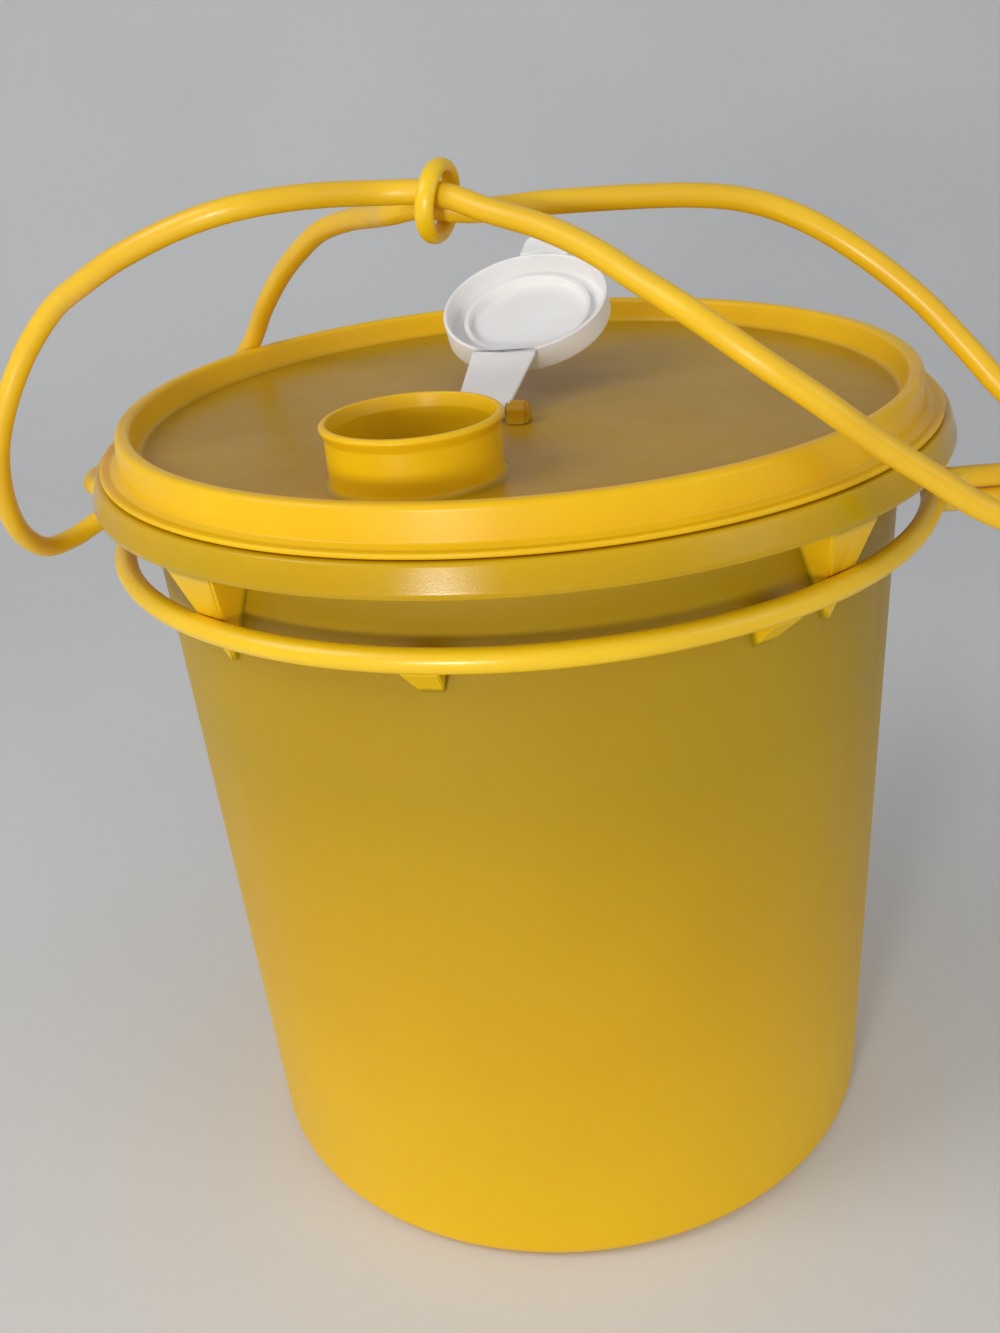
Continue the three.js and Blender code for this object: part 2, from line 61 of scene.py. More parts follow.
TUB_BASE_RADIUS = 0.1045
TUB_MOUTH_RADIUS = 0.114
TUB_WALL = 0.002
BASE_EDGE_RADIUS = 0.006
BASE_LIFT = 0.003
BASE_THICKNESS = 0.0024
FOOT_RING_WIDTH = 0.005
FOOT_BEVEL = 0.0022
PANEL_ROUNDING = 0.0012
FOOT_ROUNDING = 0.0008
COLLAR_TOP = 0.2407
COLLAR_TOP_RADIUS = 0.1266
COLLAR_RADIUS = 0.1287
COLLAR_HEIGHT = 0.0084
COLLAR_WALL = 0.002
COLLAR_ROLL = 0.0009
BEAD_HEIGHT = 0.0015
BEAD_EDGE = 0.0004
BEAD_ROLL = 0.0012
BEAD_FOOT_ROUNDING = 0.0004
COLLAR_ROOT_ROUNDING = 0.0012
COLLAR_INNER_ROUNDING = 0.001
MOUTH_ROUNDING = 0.0007
GUSSET_HEIGHT = 0.0315
GUSSET_FOOT_DEPTH = 0.0014
GUSSET_INSET = 0.0004
GUSSET_MIDDLES_DEG = (-1.5, 178.5)
GUSSET_SPLAY_DEG = 44.5
GUSSET_TOP_DEG = 8.2
GUSSET_FOOT_DEG = 0.8
GUSSET_ROUNDING = 0.0006
LUG_HEIGHT = 0.01
LUG_EDGE = 0.0007
LUG_INSET = 0.0005
LUG_TOP_WIDTH = 0.0098
LUG_FOOT_WIDTH = 0.0064
LUG_MIDDLES_DEG = (-13.5, 30.8, 166.5, 210.8)
LUG_ROUNDING = 0.0005

# Carrying ring and its outlets

RING_RADIUS = 0.1227
RING_Z = 0.2147
ROD_RADIUS = 0.00325
RING_GAP = 0.0003
OUTLET_DEG = 14.2
OUTLET_LENGTH = 0.009
OUTLET_Z = 0.2152
OUTLET_SPACING = 0.0069
OUTLET_ROOT_DEG = 3.4

# Lid and spout

SEAT_GAP = 0.0003
LID_FLOOR_HEIGHT = 0.0032
LID_THICKNESS = 0.002
LID_FLOOR_RADIUS = 0.1133
LID_FLOOR_FILLET = 0.0016
LIP_RADIUS = 0.1251
LIP_THICKNESS = 0.0015
LIP_TOP_WIDTH = 0.0011
LIP_ROLL = 0.0006
GROOVE_RADIUS = 0.1222
GROOVE_HEIGHT = 0.0011
GROOVE_FILLET = 0.0008
CREST_FOOT_RADIUS = 0.12
CREST_FOOT_HEIGHT = 0.0022
CREST_OUTER_RADIUS = 0.119
CREST_INNER_RADIUS = 0.115
CREST_HEIGHT = 0.0112
CREST_ROLL = 0.0017
PLUG_GAP = 0.0004
PLUG_WALL = 0.0018
PLUG_DEPTH = 0.009
PLUG_DRAFT = 0.0005
PLUG_ROOT_ROUNDING = 0.0008
PLUG_END_ROUNDING = 0.0006
PLUG_SEAT_ROUNDING = 0.0004
SPOUT_PLACE = (-0.0272, -0.0677)
SPOUT_RADIUS = 0.023
SPOUT_FILLET = 0.0016
SPOUT_RIM_RADIUS = 0.0243
SPOUT_RIM_ROLL = 0.0009
SPOUT_MOUTH_RADIUS = 0.0223
SPOUT_BORE_RADIUS = 0.0214
SPOUT_HEIGHT = 0.0165
SPOUT_RIM_DEPTH = 0.0036
SPOUT_MOUTH_ROUNDING = 0.0003

# Strap hinge, strap and cap

POUR_LINE_DEG = 19
HINGE_REACH = 0.0515
HINGE_HEIGHT = 0.0033
EAR_RADIUS = 0.003
EAR_WIDTH = 0.0064
EAR_FOOT = 0.0084
EAR_GAP = 0.0004
EAR_ROUNDING = 0.0009
EAR_START_DEG = -15
EAR_SWEEP_DEG = 210
STUB_GAP = 0.0003
BARREL_RADIUS = 0.0023
STUB_RADIUS = 0.0015
STUB_LENGTH = 0.0034
STRAP_ROOT_WIDTH = 0.016
STRAP_END_WIDTH = 0.02
STRAP_THICKNESS = 0.0012
STRAP_REST_DEG = 24
STRAP_ROUNDING = 0.0003
FLEX_HALF = 0.0016
FLEX_SHARES = (-1, -0.6, -0.2, 0.2, 0.6, 1)
CAP_SEAT_GAP = 0.0003
CAP_RADIUS = 0.0262
CAP_WALL = 0.0011
CAP_DEPTH = 0.0068
CAP_PANEL = 0.0015
CAP_ROLL = 0.001
CAP_EDGE = 0.0003
CAP_LAND = 0.0004
CAP_PLUG_RADIUS = 0.0203
CAP_PLUG_WALL = 0.0015
CAP_PLUG_HEIGHT = 0.0028
TAB_WIDTH = 0.0165
TAB_REACH = 0.0115
TAB_THICKNESS = 0.0016
TAB_CORNER = 0.005
TAB_ROUNDING = 0.0004

# Slider ring

SLIDER_PLACE = (-0.0162, -0.0372, 0.3087)
SLIDER_AXIS = (0.921, -0.356, -0.158)
SLIDER_BORE = 0.0146
SLIDER_THICKNESS = 0.0036
SLIDER_WIDTH = 0.0052

# Cords

CORD_RADIUS = 0.00325
CORD_SIDES = 28
CORD_STEP = 0.0016

# Routes of the cords, from the left outlet over the lid to the right one

CORD_FRONT_ROUTE = [
    (-0.1283, 0.0301, 0.21175), (-0.132, 0.0301, 0.21175), (-0.1375, 0.0295, 0.211),
    (-0.14375, 0.0275, 0.2085), (-0.14975, 0.02225, 0.206), (-0.15625, 0.0115, 0.20675),
    (-0.15875, -0.00125, 0.21625), (-0.1575, -0.0115, 0.231), (-0.1535, -0.018, 0.247),
    (-0.1475, -0.0195, 0.261), (-0.1385, -0.0195, 0.2755), (-0.127, -0.023, 0.2875),
    (-0.114, -0.0335, 0.2955), (-0.1005, -0.042, 0.3025), (-0.0835, -0.047, 0.309),
    (-0.0685, -0.0485, 0.3125), (-0.051, -0.0445, 0.3135), (-0.031, -0.037, 0.312),
    (-0.0165, -0.04, 0.311), (-0.003, -0.048, 0.3065), (0.01, -0.06, 0.303),
    (0.021, -0.073, 0.2985), (0.0305, -0.086, 0.293), (0.042, -0.098, 0.286),
    (0.055, -0.106, 0.2765), (0.069, -0.108, 0.266), (0.083, -0.1055, 0.2545),
    (0.097, -0.103, 0.244), (0.11, -0.101, 0.2345), (0.126, -0.0995, 0.226),
    (0.141, -0.096, 0.2165), (0.1555, -0.088, 0.2095), (0.169, -0.0735, 0.207),
    (0.173, -0.053, 0.207), (0.165, -0.0365, 0.209), (0.147, -0.0305, 0.2115),
    (0.132, -0.0301, 0.21175), (0.1283, -0.0301, 0.21175),
]
CORD_BACK_ROUTE = [
    (-0.1283, 0.0301, 0.21865), (-0.1323, 0.0301, 0.21865), (-0.1378, 0.0312, 0.2186),
    (-0.1429, 0.0347, 0.2184), (-0.1463, 0.0406, 0.2181), (-0.1473, 0.048, 0.2178),
    (-0.1455, 0.057, 0.2179), (-0.1395, 0.068, 0.2188), (-0.13, 0.0785, 0.2218),
    (-0.118, 0.0855, 0.228), (-0.1055, 0.0875, 0.238), (-0.093, 0.083, 0.252),
    (-0.084, 0.07, 0.2665), (-0.0745, 0.0565, 0.279), (-0.0655, 0.043, 0.288),
    (-0.056, 0.0285, 0.2955), (-0.045, 0.012, 0.3), (-0.036, -0.005, 0.3025),
    (-0.0295, -0.022, 0.305), (-0.021, -0.032, 0.307), (-0.007, -0.037, 0.3055),
    (0.0145, -0.034, 0.3055), (0.053, -0.026, 0.303), (0.068, -0.0245, 0.3),
    (0.0815, -0.0255, 0.2945), (0.095, -0.029, 0.286), (0.1105, -0.0365, 0.273),
    (0.122, -0.044, 0.26), (0.131, -0.0505, 0.249), (0.141, -0.0575, 0.2395),
    (0.1515, -0.0665, 0.232), (0.165, -0.0685, 0.226), (0.174, -0.064, 0.222),
    (0.1785, -0.056, 0.219), (0.1785, -0.045, 0.2175), (0.1725, -0.0355, 0.2175),
    (0.1605, -0.0295, 0.2185), (0.146, -0.03, 0.2185), (0.132, -0.0301, 0.21865),
    (0.1283, -0.0301, 0.21865),
]

# Fineness of the round forms

ROUND_STEPS = 192
SMALL_STEPS = 96
ROD_STEPS = 32
FILLET_STEPS = 6
STRETCH_STEPS = 40
GUARD = 0.0003
GUARDED_LENGTH = 4 * GUARD
ON_AXIS = GUARD / 10
COVE_STEPS = 24
EAR_STEPS = 16
BARREL_STEPS = 48
STUB_STEPS = 40
BEVEL_STEPS = 3
SHARP_DEG = 38
HULL_BEVEL_DEG = 12
PRISM_BEVEL_DEG = 50
FLAT_DEG = 4
MOST_OF_SIDE = 0.48
OVERRUN = 0.0006

# Floor and backdrop

FLOOR_FRONT = -3.0
FLOOR_BACK = 1.6
FLOOR_HALF = 4.0
COVE_RADIUS = 0.8
BACKDROP_TOP = 3.0

# Colours, as a deep and a light one that a cloudy noise goes between

LID_BRIGHT = (0.8, 0.46, 0.003), (0.88, 0.53, 0.005)
# The lid floor's deep colour is painted shade, for the dark inside that shows through the thin floor
LID_FLOOR_PAINTED_SHADE = (0.44, 0.245, 0.002), (0.5, 0.28, 0.003)
# Painted shade for the hinge's ears, where the strap's shadow falls
EAR_PAINTED_SHADE = (0.52, 0.27, 0.003), (0.58, 0.31, 0.004)
TUB_BRIGHT = (0.78, 0.46, 0.003), (0.86, 0.52, 0.004)
CORD_YELLOW = (0.78, 0.45, 0.008), (0.88, 0.54, 0.012)
RING_YELLOW = (0.8, 0.5, 0.006), (0.9, 0.57, 0.01)
CAP_WHITE = (0.86, 0.84, 0.83), (0.93, 0.92, 0.91)

# Greys, lowest and highest: the floor's, and those of the cloudy mottle in the tub's colour, with its
# share

FLOOR_PALE = (0.66, 0.7)
TUB_MOTTLE = (0.86, 1.0)
TUB_MOTTLE_SHARE = 0.5

# The tub's colour at shares of its height, with painted shade under the collar and painted light from the
# floor at the foot

TUB_SHADED_COLOURS = [
    (0.0, (0.86, 0.49, 0.002)),
    (0.35, (0.66, 0.37, 0.002)),
    (0.7, (0.45, 0.28, 0.002)),
    (0.93, (0.43, 0.265, 0.002)),
    (1.0, (0.6, 0.36, 0.002)),
]

# Roughness, lowest and highest

LID_ROUGH = (0.3, 0.38)
WALL_ROUGH = (0.4, 0.5)
COLLAR_ROUGH = (0.17, 0.24)
CAP_ROUGH = (0.3, 0.42)
CORD_ROUGH = (0.3, 0.4)
RING_ROUGH = (0.26, 0.36)

# Noises, as a scale and a detail

CLOUD = (22.0, 3.0)
TUB_CLOUD = (14.0, 3.0)
CAP_CLOUD = (45.0, 3.0)
FLOOR_CLOUD = (3.0, 3.0)
GLOSS = (60.0, 4.0)
CAP_GLOSS = (120.0, 3.0)
STREAKS = (70.0, 3.0)
STREAK_STRETCH = (1, 1, 0.15)
RIPPLES = (90.0, 1.0)
TUB_RIPPLES = (50.0, 1.0)
CAP_RIPPLES = (160.0, 1.0)
GRAIN = (2600.0, 2.0)
TUB_GRAIN = (2200.0, 2.0)
CAP_GRAIN = (3000.0, 2.0)
FLOOR_GRAIN = (400.0, 2.0)

# Depths of the ripples and the grain

RIPPLE_DEPTH = 0.00008
LID_RIPPLE_DEPTH = 0.00006
TUB_RIPPLE_DEPTH = 0.0001
CAP_RIPPLE_DEPTH = 0.00005
GRAIN_DEPTH = 0.000006
TUB_GRAIN_DEPTH = 0.00002
CAP_GRAIN_DEPTH = 0.000008
FLOOR_GRAIN_DEPTH = 0.00005

# Where one colour or gloss passes into the next, with the edges of the painted shade on the lid's floor
# and the hinge's ears

LID_FLOOR_SHADE_OUTSIDE = 0.0012
LID_FLOOR_SHADE_INSIDE = 0.0014
LID_FLOOR_SHADE_TOP = 0.0016
LID_FLOOR_SHADE_LOW = 0.0002
EAR_SHADE_REACH = (0.02, 0.0165)
GUSSET_TINT_RADII = (0.1136, 0.1152)
GUSSET_TINT_DROP = 0.002
COLLAR_GLOSS_DROP = 0.004

# Sky

SKY_COLOUR = (0.92, 0.94, 0.97)
SKY_STRENGTH = 0.52

# Heights that follow from the sizes

wall_slope = (TUB_MOUTH_RADIUS - TUB_BASE_RADIUS) / COLLAR_TOP
collar_low = COLLAR_TOP - COLLAR_HEIGHT
flange_under = COLLAR_TOP - COLLAR_WALL
lid_under = COLLAR_TOP + SEAT_GAP
lid_floor = lid_under + LID_FLOOR_HEIGHT
floor_under = lid_floor - LID_THICKNESS
spout_top = lid_floor + SPOUT_HEIGHT

# The strap's length lets the closed cap lie level on the spout

flex_reach = CAP_RADIUS + CAP_LAND
flex_run = HINGE_REACH - flex_reach
flex_rise = SPOUT_HEIGHT + CAP_SEAT_GAP - HINGE_HEIGHT - CAP_DEPTH + STRAP_THICKNESS / 2
strap_length = math.hypot(flex_run, flex_rise)


def wall_radius(z):
    return TUB_BASE_RADIUS + wall_slope * z


def around(degrees, radius, z, sideways=0.0):
    """A place round the tub: the angle runs from the front towards +X."""
    angle = math.radians(degrees)
    return Vector((
        radius * math.sin(angle) + sideways * math.cos(angle),
        -radius * math.cos(angle) + sideways * math.sin(angle),
        z,
    ))


# Camera


def make_camera():
    data = bpy.data.cameras.new("camera")
    data.lens = LENS_MM
    data.sensor_width = SENSOR_MM
    data.sensor_fit = "AUTO"
    forward = Vector((
        math.sin(CAMERA_PAN) * math.cos(CAMERA_TILT),
        math.cos(CAMERA_PAN) * math.cos(CAMERA_TILT),
        -math.sin(CAMERA_TILT),
    ))
    level = forward.cross(Vector((0, 0, 1))).normalized()
    upright = level.cross(forward)
    right = math.cos(CAMERA_ROLL) * level + math.sin(CAMERA_ROLL) * upright
    up = math.cos(CAMERA_ROLL) * upright - math.sin(CAMERA_ROLL) * level
    place = Matrix((right, up, -forward)).transposed().to_4x4()
    place.translation = CAMERA_PLACE
    camera = bpy.data.objects.new("camera", data)
    camera.matrix_world = place
    bpy.context.collection.objects.link(camera)
    bpy.context.scene.camera = camera


# Forms


def piece(name, form, material):
    """An object of that form, shaded smooth but for its sharp edges."""
    bmesh.ops.recalc_face_normals(form, faces=form.faces)
    mesh = bpy.data.meshes.new(name)
    form.to_mesh(mesh)
    form.free()
    mesh.polygons.foreach_set("use_smooth", [True] * len(mesh.polygons))
    mesh.set_sharp_from_angle(angle=math.radians(SHARP_DEG))
    mesh.materials.append(material)
    made = bpy.data.objects.new(name, mesh)
    bpy.context.collection.objects.link(made)
    return made


def softened(corners, closed=False):
    """The points of an outline whose corners, (x, y, rounding), become arcs.
    Guard points beside each arc keep the flats flat in smooth shading."""
    points = []
    count = len(corners)
    for i, (x, y, rounding) in enumerate(corners):
        here = Vector((x, y))
        if rounding == 0 or (not closed and i in (0, count - 1)):
            points.append(here)
            continue
        before = Vector(corners[i - 1][:2]) - here
        after = Vector(corners[(i + 1) % count][:2]) - here
        half = before.angle(after) / 2
        longest = MOST_OF_SIDE * before.length, MOST_OF_SIDE * after.length
        reach = min(rounding / math.tan(half), *longest)
        radius = reach * math.tan(half)
        toward = (before.normalized() + after.normalized()).normalized()
        middle = here + toward * radius / math.sin(half)
        start = here + before.normalized() * reach - middle
        end = here + after.normalized() * reach - middle
        for step in range(FILLET_STEPS + 1):
            points.append(middle + start.lerp(end, step / FILLET_STEPS).normalized() * radius)
    guarded = []
    for a, b in zip(points, points[1:] + points[:1] if closed else points[1:]):
        guarded.append(a)
        if (b - a).length > GUARDED_LENGTH:
            guarded += [a + (b - a).normalized() * GUARD, b - (b - a).normalized() * GUARD]
    if not closed:
        guarded.append(points[-1])
    return guarded


def circle(x, y, radius, steps):
    turns = [math.tau * i / steps for i in range(steps)]
    return [Vector((x + radius * math.cos(t), y + radius * math.sin(t))) for t in turns]


def add_turned(form, profile, steps, middle=(0, 0), closed=False):
    """A profile of (radius, height) turned about an upright axis."""
    rings = []
    for radius, height in profile:
        if radius < ON_AXIS:
            rings.append([form.verts.new((middle[0], middle[1], height))])
            continue
        rings.append([
            form.verts.new((
                middle[0] + radius * math.cos(math.tau * i / steps),
                middle[1] + radius * math.sin(math.tau * i / steps),
                height,
            ))
            for i in range(steps)
        ])
    above = rings[1:] + rings[:1] if closed else rings[1:]
    for low, high in zip(rings, above):
        for i in range(steps):
            j = (i + 1) % steps
            corners = [low[i % len(low)], low[j % len(low)], high[j % len(high)], high[i % len(high)]]
            corners = list(dict.fromkeys(corners))
            if len(corners) > 2:
                form.faces.new(corners)
    return [vert for ring in rings for vert in ring]


def moved(form, verts, place):
    bmesh.ops.transform(form, matrix=place, verts=verts)


def round_edges(form, rounding, degrees):
    """Rounds each edge whose faces meet at more than the angle."""
    sharp = [edge for edge in form.edges if edge.calc_face_angle(0) > math.radians(degrees)]
    bmesh.ops.bevel(
        form, geom=sharp, offset=rounding, segments=BEVEL_STEPS, affect="EDGES", clamp_overlap=True
    )


def hull(points, rounding):
    """The convex body round some points, with rounded edges."""
    form = bmesh.new()
    verts = [form.verts.new(point) for point in points]
    made = bmesh.ops.convex_hull(form, input=verts)
    spare = [item for item in made["geom_interior"] if isinstance(item, bmesh.types.BMVert)]
    bmesh.ops.delete(form, geom=spare, context="VERTS")
    limit = math.radians(FLAT_DEG)
    bmesh.ops.dissolve_limit(form, angle_limit=limit, verts=form.verts[:], edges=form.edges[:])
    if rounding > 0:
        round_edges(form, rounding, HULL_BEVEL_DEG)
    return form


def add_form(form, other):
    """Adds the other form's shells, and frees it."""
    mesh = bpy.data.meshes.new("part")
    other.to_mesh(mesh)
    other.free()
    form.from_mesh(mesh)
    bpy.data.meshes.remove(mesh)


def as_object(form):
    bmesh.ops.recalc_face_normals(form, faces=form.faces)
    mesh = bpy.data.meshes.new("part")
    form.to_mesh(mesh)
    form.free()
    made = bpy.data.objects.new("part", mesh)
    bpy.context.collection.objects.link(made)
    return made


def cut(form, cutter):
    """The form without what the cutter fills. Both forms are used up."""
    kept, tool = as_object(form), as_object(cutter)
    change = kept.modifiers.new("cut", "BOOLEAN")
    change.operation = "DIFFERENCE"
    change.solver = "EXACT"
    change.use_self = True
    change.object = tool
    bpy.context.view_layer.update()
    shown = kept.evaluated_get(bpy.context.evaluated_depsgraph_get())
    result = bmesh.new()
    result.from_mesh(shown.to_mesh())
    shown.to_mesh_clear()
    for used in (kept, tool):
        mesh = used.data
        bpy.data.objects.remove(used)
        bpy.data.meshes.remove(mesh)
    return result


def prism(outline, low, high, rounding):
    """An outline in x and y, filled from low to high in z, with rounded edges."""
    form = bmesh.new()
    rings = [[form.verts.new((x, y, z)) for x, y in outline] for z in (low, high)]
    for ring in rings:
        form.faces.new(ring)
    for i in range(len(outline)):
        j = (i + 1) % len(outline)
        form.faces.new([rings[0][i], rings[0][j], rings[1][j], rings[1][i]])
    bmesh.ops.recalc_face_normals(form, faces=form.faces)
    if rounding > 0:
        round_edges(form, rounding, PRISM_BEVEL_DEG)
    return form


# Cords


def smooth_line(points):
    """The centripetal curve through the points, in even steps."""
    points = [Vector(point) for point in points]
    ends = [2 * points[0] - points[1], 2 * points[-1] - points[-2]]
    points = [ends[0]] + points + [ends[1]]
    fine = []
    for a, b, c, d in zip(points, points[1:], points[2:], points[3:]):
        before, across, after = (math.sqrt((q - p).length) for p, q in ((a, b), (b, c), (c, d)))
        leave = (b - a) / before - (c - a) / (before + across) + (c - b) / across
        arrive = (c - b) / across - (d - b) / (across + after) + (d - c) / after
        leave *= across
        arrive *= across
        for step in range(STRETCH_STEPS):
            t = step / STRETCH_STEPS
            fine.append(
                b
                + leave * t
                + (3 * (c - b) - 2 * leave - arrive) * t ** 2
                + (2 * (b - c) + leave + arrive) * t ** 3
            )
    fine.append(points[-2])
    fine = np.array([point[:] for point in fine])
    run = np.concatenate([[0], np.cumsum(np.linalg.norm(np.diff(fine, axis=0), axis=1))])
    even = np.linspace(0, run[-1], round(run[-1] / CORD_STEP))
    return np.stack([np.interp(even, run, fine[:, axis]) for axis in range(3)], axis=1)


def add_tube(form, path, radius, sides):
    """A round tube along the path, closed by flat ends."""
    ways = np.gradient(path, axis=0)
    ways /= np.linalg.norm(ways, axis=1)[:, None]
    side = np.cross(ways[0], (0, 0, 1))
    rings = []
    for place, way in zip(path, ways):
        side = side - way * side.dot(way)
        side /= np.linalg.norm(side)
        over = np.cross(way, side)
        rings.append([
            form.verts.new(place + radius * (math.cos(t) * side + math.sin(t) * over))
            for t in (math.tau * i / sides for i in range(sides))
        ])
    for low, high in zip(rings, rings[1:]):
        for i in range(sides):
            j = (i + 1) % sides
            form.faces.new([low[i], low[j], high[j], high[i]])
    form.faces.new(rings[0])
    form.faces.new(rings[-1])


def make_cord(name, route, material):
    line = smooth_line(route)
    form = bmesh.new()
    # The tube runs a third of a step past both ends of the line, into the outlets
    first = line[:1] + (line[0] - line[1]) / 3
    last = line[-1:] + (line[-1] - line[-2]) / 3
    add_tube(form, np.concatenate([first, line, last]), CORD_RADIUS, CORD_SIDES)
    made = piece(name + "_moulding", form, material)
    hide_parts(name)
    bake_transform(made)


def make_slider(material):
    form = bmesh.new()
    middle = (SLIDER_BORE + SLIDER_THICKNESS) / 2
    section = [
        (middle + x * SLIDER_THICKNESS, y * SLIDER_WIDTH) for x, y in circle(0, 0, 0.5, ROD_STEPS)
    ]
    verts = add_turned(form, section, SMALL_STEPS, closed=True)
    turn = Vector((0, 0, 1)).rotation_difference(Vector(SLIDER_AXIS).normalized())
    moved(form, verts, Matrix.Translation(SLIDER_PLACE) @ turn.to_matrix().to_4x4())
    made = piece("slider_ring_moulding", form, material)
    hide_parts("slider_ring")
    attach(made, "slider_ring")
    return made


# Tub


def tub_profile():
    foot_outer = wall_radius(BASE_EDGE_RADIUS) - BASE_EDGE_RADIUS
    foot_inner = foot_outer - FOOT_RING_WIDTH
    panel_edge = foot_inner - FOOT_BEVEL
    panel_top = BASE_LIFT + BASE_THICKNESS
    mouth = TUB_MOUTH_RADIUS - TUB_WALL
    inner_edge = BASE_EDGE_RADIUS - TUB_WALL
    return softened([
        (0, BASE_LIFT, 0),
        (panel_edge, BASE_LIFT, PANEL_ROUNDING),
        (foot_inner, 0, FOOT_ROUNDING),
        (foot_outer + BASE_EDGE_RADIUS, 0, BASE_EDGE_RADIUS),
        (wall_radius(flange_under), flange_under, COLLAR_ROOT_ROUNDING),
        (COLLAR_TOP_RADIUS - COLLAR_WALL, flange_under, COLLAR_INNER_ROUNDING),
        (COLLAR_RADIUS - COLLAR_WALL - BEAD_EDGE, collar_low, BEAD_FOOT_ROUNDING),
        (COLLAR_RADIUS - BEAD_EDGE, collar_low, BEAD_FOOT_ROUNDING),
        (COLLAR_RADIUS, collar_low + BEAD_HEIGHT, BEAD_ROLL),
        (COLLAR_TOP_RADIUS, COLLAR_TOP, COLLAR_ROLL),
        (mouth, COLLAR_TOP, MOUTH_ROUNDING),
        (foot_outer + inner_edge, TUB_WALL, inner_edge),
        (foot_inner + TUB_WALL / 2, TUB_WALL, FOOT_ROUNDING),
        (panel_edge + TUB_WALL / 2, panel_top, PANEL_ROUNDING),
        (0, panel_top, 0),
    ])


def gusset(middle, side):
    far = middle + side * GUSSET_SPLAY_DEG
    near_top = far - side * GUSSET_TOP_DEG
    near_foot = far - side * GUSSET_FOOT_DEG
    outer = COLLAR_RADIUS - BEAD_EDGE - GUSSET_INSET
    outer_top = COLLAR_TOP_RADIUS - COLLAR_ROLL
    foot = collar_low - GUSSET_HEIGHT
    top = flange_under + COLLAR_WALL / 2
    points = []
    for degrees in (far, (far + near_top) / 2, near_top):
        points += [around(degrees, outer, collar_low), around(degrees, outer_top, top)]
        points += [around(degrees, wall_radius(z) - TUB_WALL / 2, z) for z in (top, collar_low)]
    for degrees in (far, near_foot):
        points.append(around(degrees, wall_radius(foot) + GUSSET_FOOT_DEPTH, foot))
        points.append(around(degrees, wall_radius(foot) - TUB_WALL / 2, foot))
    return hull(points, GUSSET_ROUNDING)


def lug(degrees):
    top = RING_Z - ROD_RADIUS - RING_GAP
    foot = top - LUG_HEIGHT
    reach = RING_RADIUS - LUG_INSET
    points = []
    for side in (-1, 1):
        wide, narrow = side * LUG_TOP_WIDTH / 2, side * LUG_FOOT_WIDTH / 2
        points.append(around(degrees, wall_radius(top) - TUB_WALL / 2, top, wide))
        points.append(around(degrees, reach, top, wide))
        points.append(around(degrees, reach, top - LUG_EDGE, wide))
        points.append(around(degrees, wall_radius(foot), foot, narrow))
        points.append(around(degrees, wall_radius(foot) - TUB_WALL / 2, foot, narrow))
    return hull(points, LUG_ROUNDING)


def add_ring(form, gap):
    add_turned(form, circle(RING_RADIUS, RING_Z, ROD_RADIUS + gap, ROD_STEPS), ROUND_STEPS, closed=True)


def make_tub(material):
    held = bmesh.new()
    for middle in GUSSET_MIDDLES_DEG:
        for side in (-1, 1):
            add_form(held, gusset(middle, side))
    for degrees in LUG_MIDDLES_DEG:
        add_form(held, lug(degrees))
    free = bmesh.new()
    add_ring(free, RING_GAP)
    form = cut(held, free)
    add_turned(form, tub_profile(), ROUND_STEPS)
    made = piece("tub_moulding", form, material)
    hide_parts("tub")
    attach(made, "tub")


def outlet(side):
    degrees = 90 - OUTLET_DEG
    root = around(degrees, RING_RADIUS, RING_Z)
    points = []
    for spread, height in circle(0, 0, ROD_RADIUS, ROD_STEPS):
        for x in (root.x + ROD_RADIUS / 2, root.x + OUTLET_LENGTH):
            for middle in (OUTLET_Z - OUTLET_SPACING / 2, OUTLET_Z + OUTLET_SPACING / 2):
                points.append((x, root.y + spread, middle + height))
        for turn in (-OUTLET_ROOT_DEG, OUTLET_ROOT_DEG):
            points.append(around(degrees + turn, RING_RADIUS + spread, RING_Z + height))
    form = hull(points, 0)
    if side < 0:
        moved(form, form.verts, Matrix.Rotation(math.pi, 4, "Z"))
    return form


def make_ring(material):
    form = bmesh.new()
    add_ring(form, 0)
    for side in (-1, 1):
        add_form(form, outlet(side))
    made = piece("carry_ring_moulding", form, material)
    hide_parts("carry_ring")
    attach(made, "tub")


# Lid


def lid_profile():
    plug_outer = TUB_MOUTH_RADIUS - TUB_WALL - PLUG_GAP
    plug_inner = plug_outer - PLUG_WALL
    plug_low = lid_under - PLUG_DEPTH
    crest = lid_under + CREST_HEIGHT
    return softened([
        (0, floor_under, 0),
        (plug_inner, floor_under, PLUG_ROOT_ROUNDING),
        (plug_inner, plug_low, PLUG_END_ROUNDING),
        (plug_outer - PLUG_DRAFT, plug_low, PLUG_END_ROUNDING),
        (plug_outer, lid_under, PLUG_SEAT_ROUNDING),
        (LIP_RADIUS, lid_under, LIP_ROLL),
        (LIP_RADIUS, lid_under + LIP_THICKNESS, LIP_ROLL),
        (LIP_RADIUS - LIP_TOP_WIDTH, lid_under + LIP_THICKNESS, LIP_ROLL),
        (GROOVE_RADIUS, lid_under + GROOVE_HEIGHT, GROOVE_FILLET),
        (CREST_FOOT_RADIUS, lid_under + CREST_FOOT_HEIGHT, GROOVE_FILLET),
        (CREST_OUTER_RADIUS, crest, CREST_ROLL),
        (CREST_INNER_RADIUS, crest, CREST_ROLL),
        (LID_FLOOR_RADIUS, lid_floor, LID_FLOOR_FILLET),
        (0, lid_floor, 0),
    ])


